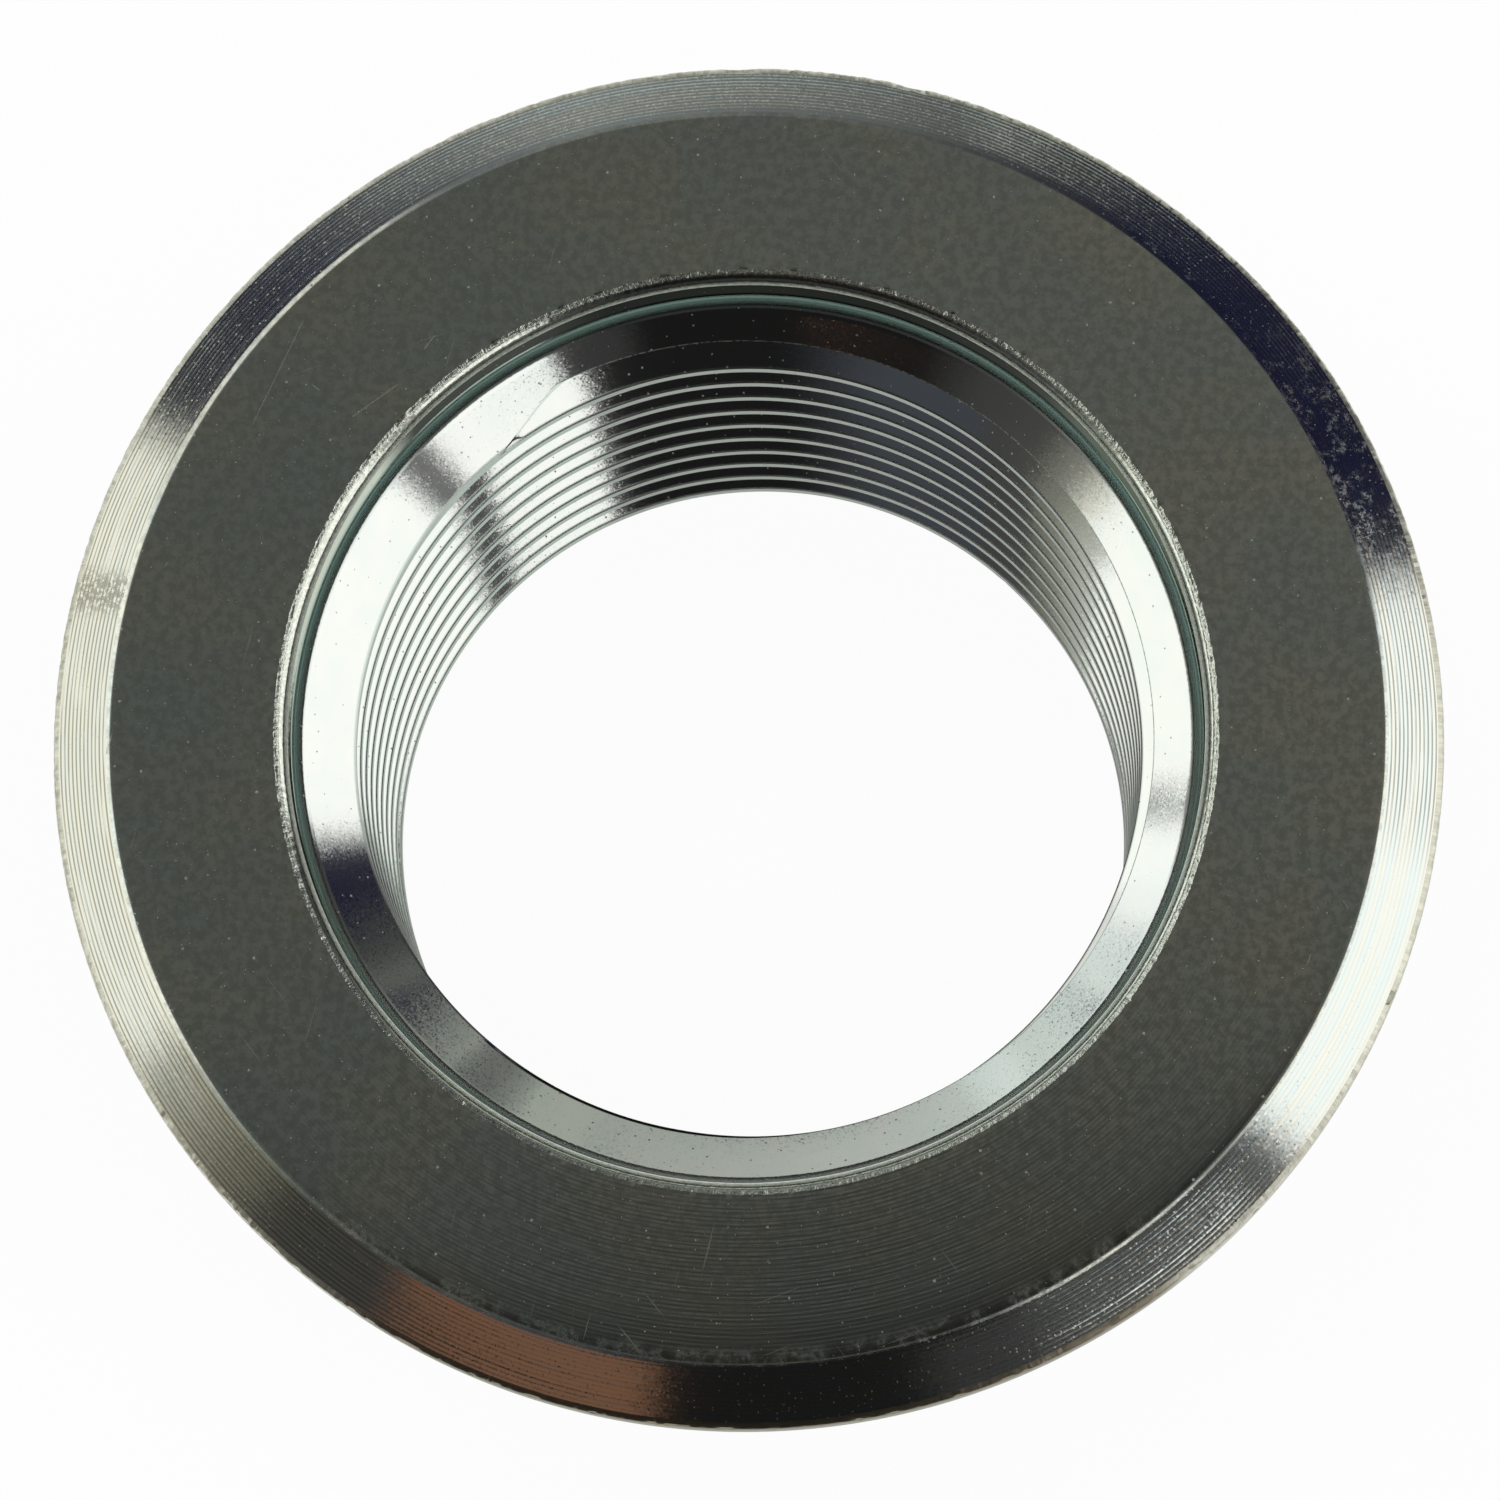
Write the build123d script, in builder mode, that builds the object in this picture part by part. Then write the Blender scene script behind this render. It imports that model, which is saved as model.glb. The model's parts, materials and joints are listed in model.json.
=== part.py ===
from build123d import *
import os
from math import cos, radians, sin, sqrt, tan

# Hex weld nut: one turned and milled steel piece. A round bevelled flange sits on top of a hexagonal
# body, and a threaded hole with an O-ring seat in its mouth runs right through both.
#
# Frame: millimetres, +Z up along the thread. The nut stands on the hexagon's free end, with its origin
# at the middle of that end. Two corners of the hexagon point along X.

# ---- Overall -----------------------------------------------------------------------------------
overall_height = 25.4

# ---- Flange ------------------------------------------------------------------------------------
flange_diameter = 54.3
flange_thickness = 4.0
bevel_width = 2.4  # measured along the radius, from the flat face out to the rim
bevel_angle = 30.0  # from the plane of the face
rim_break = 0.3  # broken lower corner of the rim

# ---- Hexagon -----------------------------------------------------------------------------------
across_flats = 41.3
end_circle_diameter = 39.4  # flat circle left at the free end by the corner chamfer
corner_chamfer_angle = 30.0  # from the plane of the free end
neck_fillet = 0.8  # where the flats run into the flange

# ---- Mouth, O-ring seat and lead-in cone, from the face downwards ---------------------------------
seat_diameter = 35.66
seat_depth = 2.165  # from the face to the sharp corner under the seat's fillet
seat_fillet = 1.27  # between the seat's wall and the lead-in cone
mouth_edge_width = 0.47  # rounded edge from the seat out to the face
mouth_edge_depth = 0.5
mouth_edge_crown = 0.05  # how far that edge bulges past its chord
lead_in_angle = 50.0  # from the axis

# ---- Thread 1 5/16-12 UN, bored to its minor diameter; the helix itself is left off -----------------
thread_minor_diameter = 31.05
thread_major_diameter = 33.34
exit_chamfer_angle = 45.0  # from the axis, at the free end

# ---- Heights and radii that follow from the sizes above --------------------------------------------
underside_z = overall_height - flange_thickness
bevel_depth = bevel_width * tan(radians(bevel_angle))
flange_radius = flange_diameter / 2
face_radius = flange_radius - bevel_width

seat_radius = seat_diameter / 2
seat_top_z = overall_height - mouth_edge_depth
seat_corner_z = overall_height - seat_depth
mouth_radius = seat_radius + mouth_edge_width

lead_in_slope = radians(lead_in_angle)
seat_wall = seat_top_z - seat_corner_z
seat_reach = min(seat_fillet * tan(lead_in_slope / 2), 0.8 * seat_wall)  # fillet's length on each side
fillet_top_z = seat_corner_z + seat_reach
fillet_bottom_z = seat_corner_z - seat_reach * cos(lead_in_slope)
fillet_bottom_radius = seat_radius - seat_reach * sin(lead_in_slope)

bore_radius = thread_minor_diameter / 2
exit_radius = thread_major_diameter / 2
lead_in_height = (seat_radius - bore_radius) / tan(lead_in_slope)
exit_chamfer_height = (exit_radius - bore_radius) / tan(radians(exit_chamfer_angle))
bore_top_z = seat_corner_z - lead_in_height
bore_bottom_z = exit_chamfer_height

corner_radius = across_flats / sqrt(3)
neck_room = flange_radius - rim_break - corner_radius  # flat underside left outside a corner
neck_radius = min(neck_fillet, 0.8 * neck_room)

end_circle_radius = end_circle_diameter / 2
corner_chamfer_height = (flange_radius - end_circle_radius) * tan(radians(corner_chamfer_angle))


with BuildPart() as weld_nut:
    # Hexagonal body, from the free end up into the flange.
    with BuildSketch(Plane.XY):
        RegularPolygon(radius=across_flats / 2, side_count=6, major_radius=False)
    extrude(amount=underside_z)

    # Turned chamfer that rounds the six corners at the free end.
    with BuildSketch(Plane.XZ):
        with BuildLine():
            Polyline(
                (0, 0),
                (end_circle_radius, 0),
                (flange_radius, corner_chamfer_height),
                (flange_radius, underside_z),
                (0, underside_z),
                close=True,
            )
        make_face()
    revolve(axis=Axis.Z, mode=Mode.INTERSECT)

    # Round flange: broken lower corner, cylindrical rim, bevel and flat face.
    with BuildSketch(Plane.XZ):
        with BuildLine():
            Polyline(
                (0, underside_z),
                (flange_radius - rim_break, underside_z),
                (flange_radius, underside_z + rim_break),
                (flange_radius, overall_height - bevel_depth),
                (face_radius, overall_height),
                (0, overall_height),
                close=True,
            )
        make_face()
    revolve(axis=Axis.Z)

    # The flats run into the underside of the flange through a small fillet.
    neck_edges = (
        weld_nut.edges()
        .filter_by(GeomType.LINE)
        .filter_by(Plane.XY)
        .filter_by_position(Axis.Z, underside_z - rim_break / 2, underside_z + rim_break / 2)
    )
    fillet(neck_edges, radius=neck_radius)

    # Through hole: exit chamfer, thread bore, lead-in cone, filleted O-ring seat, rounded mouth edge.
    with BuildSketch(Plane.XZ):
        with BuildLine():
            below_seat = Polyline(
                (0, 0),
                (exit_radius, 0),
                (bore_radius, bore_bottom_z),
                (bore_radius, bore_top_z),
                (fillet_bottom_radius, fillet_bottom_z),
            )
            seat_arc = TangentArc(
                (fillet_bottom_radius, fillet_bottom_z),
                (seat_radius, fillet_top_z),
                tangent=(sin(lead_in_slope), cos(lead_in_slope)),
            )
            seat_line = Line(seat_arc @ 1, (seat_radius, seat_top_z))
            mouth_arc = SagittaArc(seat_line @ 1, (mouth_radius, overall_height), mouth_edge_crown)
            Polyline(mouth_arc @ 1, (0, overall_height), below_seat @ 0)
        make_face()
    revolve(axis=Axis.Z, mode=Mode.SUBTRACT)

weld_nut.part.label = "weld_nut"

os.makedirs("parts", exist_ok=True)
export_step(weld_nut.part, "parts/weld_nut.step")

print(f"thread bore: radius {bore_radius:.4f}, from z {bore_bottom_z:.4f} to {bore_top_z:.4f}")
print(f"flange underside z {underside_z:.4f}, bevel depth {bevel_depth:.4f}")
print(f"volume {weld_nut.part.volume:.2f}")
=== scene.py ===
import json
import math

import bpy
import numpy as np
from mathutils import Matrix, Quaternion, Vector


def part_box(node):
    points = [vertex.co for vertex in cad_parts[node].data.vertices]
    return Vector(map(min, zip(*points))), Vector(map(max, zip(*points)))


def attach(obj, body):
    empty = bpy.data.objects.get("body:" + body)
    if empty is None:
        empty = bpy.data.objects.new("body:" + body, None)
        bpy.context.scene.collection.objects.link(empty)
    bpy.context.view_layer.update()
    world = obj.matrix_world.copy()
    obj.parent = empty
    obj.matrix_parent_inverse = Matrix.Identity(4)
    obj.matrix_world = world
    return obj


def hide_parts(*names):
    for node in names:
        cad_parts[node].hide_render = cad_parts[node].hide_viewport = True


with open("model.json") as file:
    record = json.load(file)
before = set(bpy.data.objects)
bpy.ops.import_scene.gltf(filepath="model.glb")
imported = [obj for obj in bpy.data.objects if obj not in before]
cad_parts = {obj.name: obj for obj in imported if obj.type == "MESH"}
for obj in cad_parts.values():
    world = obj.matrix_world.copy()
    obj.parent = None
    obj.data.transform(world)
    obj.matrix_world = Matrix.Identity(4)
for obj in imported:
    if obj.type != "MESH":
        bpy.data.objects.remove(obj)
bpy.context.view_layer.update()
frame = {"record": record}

MM = 0.001
TURN = 2 * math.pi

# ---- Sizes, in millimetres, as the solid part has them unless it says otherwise ------------------
MOUNTS = {mount["name"]: mount for mount in frame["record"]["mounts"]}
TOP = (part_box("weld_nut")[1] / MM).z  # the flange's flat face
UNDERSIDE = MOUNTS["flange_underside"]["pos_m"][2] / MM
RIM_RADIUS = 27.15
BEVEL_WIDTH = 2.4
BEVEL_SLOPE = math.tan(math.radians(30))
RIM_BREAK = 0.3
ACROSS_FLATS = 41.3
END_CIRCLE_RADIUS = 19.7
CORNER_SLOPE = math.tan(math.radians(30))
NECK_FILLET = 0.8
SEAT_RADIUS = 17.83
SEAT_DEPTH = 2.165  # to the sharp corner under the fillet
SEAT_FILLET = 1.27  # between the seat's wall and the lead-in cone
MOUTH_EDGE_WIDTH = 0.47
MOUTH_EDGE_DEPTH = 0.5
MOUTH_EDGE_CROWN = 0.07  # the solid has 0.05
LEAD_IN_ANGLE = math.radians(52)  # from the axis; the solid has 50
BORE_RADIUS = MOUNTS["thread"]["dims"]["r_mm"]
MAJOR_RADIUS = 16.67
PITCH = 25.4 / 12

FACE_RADIUS = RIM_RADIUS - BEVEL_WIDTH
MOUTH_RADIUS = SEAT_RADIUS + MOUTH_EDGE_WIDTH
SEAT_REACH = SEAT_FILLET * math.tan(LEAD_IN_ANGLE / 2)
CONE_BOTTOM = TOP - SEAT_DEPTH - (SEAT_RADIUS - BORE_RADIUS) / math.tan(LEAD_IN_ANGLE)

# ---- Finish of the edges and surfaces, in millimetres --------------------------------------------
FEED = 0.165  # lathe feed: one groove for each turn of the work
GROOVE_DEPTH = 0.0013
FACE_ROLL = 0.12  # the face rolls off into the bevel
CORNER_ROUND = 0.25  # corners of the hexagon
LINE_HEIGHT = 0.008  # fine raised line under the mouth's edge
EDGE_SOFT = 0.07  # worn edges of the free end
NICKS = ((76, 0.42, 0.20), (90.5, 0.48, 0.13), (-23.2, 0.20, 0.26))  # angle, half width, depth


def angles(count):
    return np.arange(count) * TURN / count


COARSE = angles(288)
MEDIUM = angles(480)
FINE = angles(1280)


def wobble(theta, lowest, highest, power, seed):
    """Smooth noise round the axis: waves from lowest to highest a turn, with a spread of 1."""
    source = np.random.default_rng(seed)
    waves = np.arange(lowest, highest + 1)
    size = waves ** -float(power)
    phase = source.uniform(0, TURN, len(waves))
    weight = source.normal(0, 1, len(waves)) * size
    total = (weight[None, :] * np.cos(theta[:, None] * waves[None, :] + phase[None, :])).sum(1)
    return total / math.sqrt((size**2).sum() / 2)


class Mesh:
    """Points, faces and the finish of each face, gathered ring by ring."""

    def __init__(self):
        self.points = []
        self.count = 0
        self.faces = []
        self.finishes = []

    def add(self, theta, radius, height):
        """Adds points in cylindrical coordinates and returns their numbers."""
        theta, radius, height = np.broadcast_arrays(theta, radius, height)
        self.points.append(np.stack([radius * np.cos(theta), radius * np.sin(theta), height], -1))
        numbers = np.arange(self.count, self.count + len(theta))
        self.count += len(theta)
        return numbers

    def ring(self, theta, radius, height):
        return theta, self.add(theta, radius, height)

    def face(self, corners, finish):
        self.faces.append([int(corner) for corner in corners])
        self.finishes.append(finish)

    def skin(self, ring_a, ring_b, finish):
        """Joins two rings, whatever their counts. The outside is seen with a going to b on the left."""
        (theta_a, a), (theta_b, b) = ring_a, ring_b
        ends_a, ends_b = np.append(theta_a[1:], TURN), np.append(theta_b[1:], TURN)
        i = j = 0
        while i < len(a) or j < len(b):
            next_a = ends_a[i] if i < len(a) else math.inf
            next_b = ends_b[j] if j < len(b) else math.inf
            a0, a1 = a[i % len(a)], a[(i + 1) % len(a)]
            b0, b1 = b[j % len(b)], b[(j + 1) % len(b)]
            if abs(next_a - next_b) < 1e-9:
                self.face((a0, b0, b1, a1), finish)
                i, j = i + 1, j + 1
            elif next_b < next_a:
                self.face((a0, b0, b1), finish)
                j += 1
            else:
                self.face((a0, b0, a1), finish)
                i += 1

    def lathe(self, previous, rings, finish):
        """Joins a run of (angles, radius, height) rings to the last one, and returns the new last."""
        for theta, radius, height in rings:
            ring = self.ring(theta, radius, height)
            self.skin(previous, ring, finish)
            previous = ring
        return previous


# ---- The hole and its thread ---------------------------------------------------------------------
CREST_HEIGHT = TOP - 4.70  # middle of a crest, at the angle below
CREST_ANGLE = math.radians(90)
CREST_HALF = 1 / 8  # of the pitch
ROOT_HALF = 1 / 16
FLANK = 0.5 - ROOT_HALF - CREST_HALF
BURR = 0.03  # half width of the worn line where the thread cuts into the cone
CREST_BREAK = 0.014  # half width of the broken thread edges, of the pitch
RUN_IN = (math.radians(113), math.radians(131))  # the first groove is full at one, gone at the other
CONE_JOIN = MAJOR_RADIUS + 0.3  # radius where the threaded wall hands over to plain rings
COLUMN_TOP = CONE_BOTTOM + (CONE_JOIN - BORE_RADIUS) / math.tan(LEAD_IN_ANGLE)


def plain_hole(height):
    """Radius of the hole without its thread: exit chamfer, bore and lead-in cone."""
    chamfer = MAJOR_RADIUS - height
    cone = BORE_RADIUS + (height - CONE_BOTTOM) * math.tan(LEAD_IN_ANGLE)
    return np.maximum(np.maximum(chamfer, cone), BORE_RADIUS)


def thread_phase(height, theta):
    """Turns above the middle of a crest. The thread is right-handed."""
    return (height - CREST_HEIGHT) / PITCH - (theta - CREST_ANGLE) / TURN


def first_groove(theta):
    """Share of its full depth that the first groove has reached. The tool comes in gradually."""
    missing = min(max((theta - RUN_IN[0]) / (RUN_IN[1] - RUN_IN[0]), 0), 1)
    return 1 - missing**2 * (3 - 2 * missing)


def thread_cut(phase, theta):
    """Radius that the thread tool reaches."""
    away = np.abs(phase - np.round(phase))
    rise = np.clip((away - CREST_HALF) / FLANK, 0, 1)
    rise = np.where(phase > 0, np.minimum(rise, first_groove(theta)), rise)
    return BORE_RADIUS + (MAJOR_RADIUS - BORE_RADIUS) * rise


def hole_column(theta):
    """Labelled heights up the wall at one angle: thread edges, and where the thread runs out."""
    fine = np.linspace(0, COLUMN_TOP, 2400)
    gap = plain_hole(fine) - thread_cut(thread_phase(fine, theta), theta)
    samples = [(("low",), 0.0), (("high",), COLUMN_TOP)]
    creases = []
    for k in np.nonzero(gap[:-1] * gap[1:] < 0)[0]:
        height = fine[k] - gap[k] * (fine[k + 1] - fine[k]) / (gap[k + 1] - gap[k])
        if 0.03 < height < COLUMN_TOP - 0.03:
            turn = math.floor(thread_phase(height, theta) + 0.5)
            rising = bool(gap[k] > 0)
            samples.append((("crease", rising, turn), height))
            creases.append(height)
            if height > CONE_BOTTOM + 2 * BURR:
                samples += [(("burr", rising, side, turn), height + side * BURR) for side in (-1, 1)]
    kinks = []
    for number, height in enumerate((MAJOR_RADIUS - BORE_RADIUS, CONE_BOTTOM)):
        beside = all(abs(height - crease) > 0.03 for crease in creases)
        if beside and thread_cut(thread_phase(height, theta), theta) < BORE_RADIUS + 0.001:
            samples.append((("kink", number), height))
            kinks.append(height)
    steps = [side * (CREST_HALF + soft * CREST_BREAK) for side in (-1, 1) for soft in (-1, 1)]
    steps += [0.5 + side * ROOT_HALF + soft * CREST_BREAK for side in (-1, 1) for soft in (-1, 1)]
    share = first_groove(theta)
    if 0 < share < 1:
        for number, phase in enumerate((CREST_HALF + share * FLANK, 1 - CREST_HALF - share * FLANK)):
            height = CREST_HEIGHT + PITCH * (phase + (theta - CREST_ANGLE) / TURN)
            if height < COLUMN_TOP - 0.04 and all(abs(height - crease) > 0.05 for crease in creases):
                samples.append((("first", number), height))
                kinks.append(height)
    lowest = math.floor(thread_phase(0.0, theta)) - 1
    highest = math.ceil(thread_phase(COLUMN_TOP, theta)) + 1
    for turn in range(lowest, highest):
        for number, step in enumerate(steps):
            height = CREST_HEIGHT + PITCH * (turn + step + (theta - CREST_ANGLE) / TURN)
            clear = all(abs(height - other) > 0.05 for other in creases + kinks)
            if 0.04 < height < COLUMN_TOP - 0.04 and clear:
                samples.append((("row", number, turn), height))
    return sorted(samples, key=lambda sample: sample[1])


def join_columns(mesh, column_a, column_b):
    """Faces between two neighbouring columns. Samples with the same label make the rungs."""
    wear_and_shade = ("crease", "burr")
    labels_a = {label for label, _, _ in column_a}
    labels_b = {label for label, _, _ in column_b}
    i = j = 0
    while i < len(column_a) - 1 or j < len(column_b) - 1:
        next_a = column_a[i + 1] if i < len(column_a) - 1 else None
        next_b = column_b[j + 1] if j < len(column_b) - 1 else None
        a0, b0 = column_a[i][2], column_b[j][2]
        worn_a = next_a and column_a[i][0][0] in wear_and_shade and next_a[0][0] in wear_and_shade
        worn_b = next_b and column_b[j][0][0] in wear_and_shade and next_b[0][0] in wear_and_shade
        finish = "burr" if worn_a or worn_b else "bore"
        if next_a and next_b and next_a[0] == next_b[0]:
            mesh.face((a0, next_a[2], next_b[2], b0), finish)
            i, j = i + 1, j + 1
            continue
        step_b = next_a is None or (next_b is not None and next_b[0] not in labels_a)
        if step_b and next_a is not None and next_a[0] not in labels_b:
            step_b = next_b[1] < next_a[1]
        if step_b:
            mesh.face((a0, next_b[2], b0), finish)
            j += 1
        else:
            mesh.face((a0, next_a[2], b0), finish)
            i += 1


def add_hole(mesh):
    """The threaded wall, from the free end up to the lead-in cone. Returns its lowest and top rings."""
    columns = []
    for theta in COARSE:
        samples = hole_column(theta)
        heights = np.array([height for _, height in samples])
        radii = np.maximum(plain_hole(heights), thread_cut(thread_phase(heights, theta), theta))
        radii[0] = MAJOR_RADIUS
        numbers = mesh.add(theta, radii, heights)
        columns.append([(label, height, n) for (label, height), n in zip(samples, numbers)])
    # A full turn on, each turn of the thread carries the number of the one below it.
    wrapped = [
        ((*label[:-1], label[-1] - 1) if len(label) > 2 else label, height, number)
        for label, height, number in columns[0]
    ]
    for column, following in zip(columns, [*columns[1:], wrapped]):
        join_columns(mesh, column, following)
    low = np.array([column[0][2] for column in columns])
    high = np.array([column[-1][2] for column in columns])
    return (COARSE, low), (COARSE, high)


# ---- Mouth, face, bevel and rim ------------------------------------------------------------------
def seat_rings():
    """Up the last of the lead-in cone, round the fillet and up the wall of the O-ring seat."""
    corner = TOP - SEAT_DEPTH
    cone_top = SEAT_RADIUS - SEAT_REACH * math.sin(LEAD_IN_ANGLE)
    rings = []
    for part in (0.5, 0.9):
        radius = CONE_JOIN + (cone_top - CONE_JOIN) * part
        rings.append((MEDIUM, radius, corner - (SEAT_RADIUS - radius) / math.tan(LEAD_IN_ANGLE)))
    for lean in np.linspace(LEAD_IN_ANGLE, 0, 11):
        radius = SEAT_RADIUS - SEAT_FILLET * (1 - math.cos(lean))
        rings.append((MEDIUM, radius, corner + SEAT_REACH - SEAT_FILLET * math.sin(lean)))
    lip = TOP - MOUTH_EDGE_DEPTH
    rings += [(MEDIUM, SEAT_RADIUS, height) for height in (corner + SEAT_REACH + 0.08, lip - 0.14)]
    return rings


def mouth_rings():
    """A fine raised line, then the rounded edge of the mouth, torn a little where it meets the face."""
    tear = np.abs(wobble(FINE, 30, 600, 0.35, 11))
    grain = wobble(FINE, 60, 720, 0.1, 12)
    edge = wobble(FINE, 25, 500, 0.3, 13)
    sway = 0.3 * wobble(FINE, 2, 40, 0.6, 14)
    lip = TOP - MOUTH_EDGE_DEPTH
    raised = LINE_HEIGHT * (1 + sway)
    rings = [
        (FINE, SEAT_RADIUS, lip - 0.11),
        (FINE, SEAT_RADIUS - raised, lip - 0.05),
        (FINE, SEAT_RADIUS - raised, lip - 0.015),
        (FINE, SEAT_RADIUS + 0.012, lip + 0.035),
    ]
    half_chord = math.hypot(MOUTH_EDGE_WIDTH, MOUTH_EDGE_DEPTH) / 2
    arc = (half_chord**2 + MOUTH_EDGE_CROWN**2) / (2 * MOUTH_EDGE_CROWN)
    spread = math.asin(half_chord / arc)
    middle = math.atan2(MOUTH_EDGE_DEPTH, MOUTH_EDGE_WIDTH)
    centre_radius = MOUTH_RADIUS - MOUTH_EDGE_WIDTH / 2 + (arc - MOUTH_EDGE_CROWN) * math.sin(middle)
    centre_height = TOP - MOUTH_EDGE_DEPTH / 2 - (arc - MOUTH_EDGE_CROWN) * math.cos(middle)
    # Places along the half arc, each with how rough the edge is there.
    steps = ((-0.72, 0.001), (-0.4, 0.001), (-0.1, 0.001), (0.2, 0.002), (0.5, 0.004), (0.75, 0.009))
    for part, rough in steps:
        lean = middle - part * spread
        radius = centre_radius - (arc + rough * grain) * math.sin(lean)
        rings.append((FINE, radius, centre_height + (arc - rough * tear) * math.cos(lean)))
    rings.append((FINE, MOUTH_RADIUS - 0.03 + 0.020 * edge, TOP - 0.022 - 0.010 * tear))
    rings.append((FINE, MOUTH_RADIUS + 0.02 + 0.02 * tear, TOP - 0.001))
    return rings


def fall(radius):
    """How far the bevel and the rolled edge lie below the face."""
    out = radius - FACE_RADIUS
    return BEVEL_SLOPE * (out + np.sqrt(out**2 + FACE_ROLL**2)) / 2


def face_rings():
    """Across the flat face, then over its rolled edge."""
    plain = [(MEDIUM, radius, TOP) for radius in (18.55, 20.0, 21.5, 23.0, 24.1)]
    rolled = [(MEDIUM, r, TOP - fall(r)) for r in FACE_RADIUS + np.linspace(-0.3, 0.13, 9)]
    return plain + rolled


def bevel_rings():
    """Flat lands with a fine groove between them, one for each turn of the work."""
    source = np.random.default_rng(5)
    rings = []
    start = FACE_RADIUS + 0.16
    count = int((RIM_RADIUS - 0.11 - start) / FEED)
    for groove in range(count):
        depth = GROOVE_DEPTH * source.uniform(0.75, 1.25)
        sway = 0.25 * wobble(MEDIUM, 1, 40, 0.8, 100 + groove)
        for part, share in ((0.0, 0.0), (0.34, 0.0), (0.5, 1.0), (0.66, 0.0)):
            radius = start + FEED * (groove + part)
            cut = depth * (1 + sway) * share
            rings.append((MEDIUM, radius, TOP - fall(radius) - cut))
    radius = start + FEED * count
    rings.append((MEDIUM, radius, TOP - fall(radius)))
    return rings


def nicks(theta):
    """Depth of the knocks in the rim's upper corner."""
    total = np.zeros(len(theta))
    for angle, half_width, depth in NICKS:
        away = (theta - math.radians(angle) + math.pi) % TURN - math.pi
        total = np.maximum(total, depth * np.clip(1.5 - np.abs(away) * RIM_RADIUS / half_width, 0, 1))
    return total


def rim_rings():
    """The rim's torn upper corner, its wall, which leans in a little, and the broken lower corner."""
    tear = np.abs(wobble(FINE, 14, 500, 0.45, 31))
    grain = wobble(FINE, 60, 720, 0.2, 32)
    wave = wobble(FINE, 3, 60, 0.7, 33)
    knock = nicks(FINE)
    corner = TOP - fall(RIM_RADIUS)
    return [
        (FINE, RIM_RADIUS - 0.10, TOP - fall(RIM_RADIUS - 0.10) - 0.004 * tear - 0.5 * knock),
        (FINE, RIM_RADIUS - 0.045 - 0.008 * tear, corner + 0.015 - 0.012 * tear - 0.8 * knock),
        (FINE, RIM_RADIUS - 0.016 - 0.012 * tear - 0.45 * knock, corner - 0.03 - 0.02 * tear - knock),
        (FINE, RIM_RADIUS - 0.006 - 0.006 * tear - 0.30 * knock, corner - 0.12 - 0.02 * grain - knock),
        (FINE, RIM_RADIUS - 0.004 - 0.004 * np.abs(wave), corner - 0.50),
        (MEDIUM, RIM_RADIUS - 0.004, corner - 0.9),
        (MEDIUM, RIM_RADIUS - 0.07, corner - 1.6),
        (MEDIUM, RIM_RADIUS - 0.13, UNDERSIDE + RIM_BREAK),
        (MEDIUM, RIM_RADIUS - RIM_BREAK, UNDERSIDE + 0.012),
        (MEDIUM, RIM_RADIUS - RIM_BREAK - 0.12, UNDERSIDE),
    ]


# ---- The hexagon and the free end ----------------------------------------------------------------
def hexagon(theta, grow=0.0):
    """Radius of the hexagon with rounded corners, its corners at 0, 60, ... degrees."""
    half_corner = math.radians(30)
    rounding = CORNER_ROUND + grow
    apothem = ACROSS_FLATS / 2 + grow
    centre = (apothem - rounding) / math.cos(half_corner)
    off_corner = (theta + half_corner) % (2 * half_corner) - half_corner
    edge = math.atan2(rounding / 2, centre + rounding * math.cos(half_corner))
    flat = apothem / np.cos(np.abs(off_corner) - half_corner)
    across = np.clip(rounding**2 - (centre * np.sin(off_corner)) ** 2, 0, None)
    corner = centre * np.cos(off_corner) + np.sqrt(across)
    return np.where(np.abs(off_corner) < edge, corner, flat)


def hexagon_angles():
    """Even angles, with more of them round each corner."""
    near = np.radians([-0.75, -0.36, -0.27, -0.18, -0.09, 0.09, 0.18, 0.27, 0.36, 0.75])
    corners = np.radians(60) * np.arange(6)
    extra = (corners[:, None] + near[None, :]).ravel() % TURN
    return np.unique(np.round(np.concatenate([COARSE, extra]), 9))


def body_rings():
    """From the flange's underside through the neck fillet and down the flats."""
    theta = hexagon_angles()
    rings = [(theta, hexagon(theta, NECK_FILLET + 0.15), UNDERSIDE)]
    for turn in np.radians(np.linspace(0, 90, 8)):
        grow = NECK_FILLET * (1 - math.sin(turn))
        rings.append((theta, hexagon(theta, grow), UNDERSIDE - NECK_FILLET * (1 - math.cos(turn))))
    wall = hexagon(theta)
    edge = (wall - END_CIRCLE_RADIUS) * CORNER_SLOPE
    wear_and_shade = EDGE_SOFT * (1 + 0.4 * np.abs(wobble(theta, 6, 70, 0.5, 21)))
    rings += [(theta, wall, height) for height in (UNDERSIDE - NECK_FILLET - 0.15, 14.0, 7.0)]
    rings += [(theta, wall, edge + 3 * EDGE_SOFT), (theta, wall, edge + wear_and_shade)]
    return rings, theta, wall, edge, wear_and_shade


def end_rings(theta, wall, edge, wear_and_shade):
    """The turned chamfer over the corners, and the flat free end."""
    inward = wall - wear_and_shade
    ring_edge = END_CIRCLE_RADIUS + EDGE_SOFT
    return [
        (theta, inward, edge - wear_and_shade * CORNER_SLOPE),
        (COARSE, ring_edge, EDGE_SOFT * CORNER_SLOPE),
        (COARSE, END_CIRCLE_RADIUS - 0.02, 0.004),
        (COARSE, END_CIRCLE_RADIUS - 0.15, 0.0),
        (COARSE, MAJOR_RADIUS + 0.12, 0.0),
    ]


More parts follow.
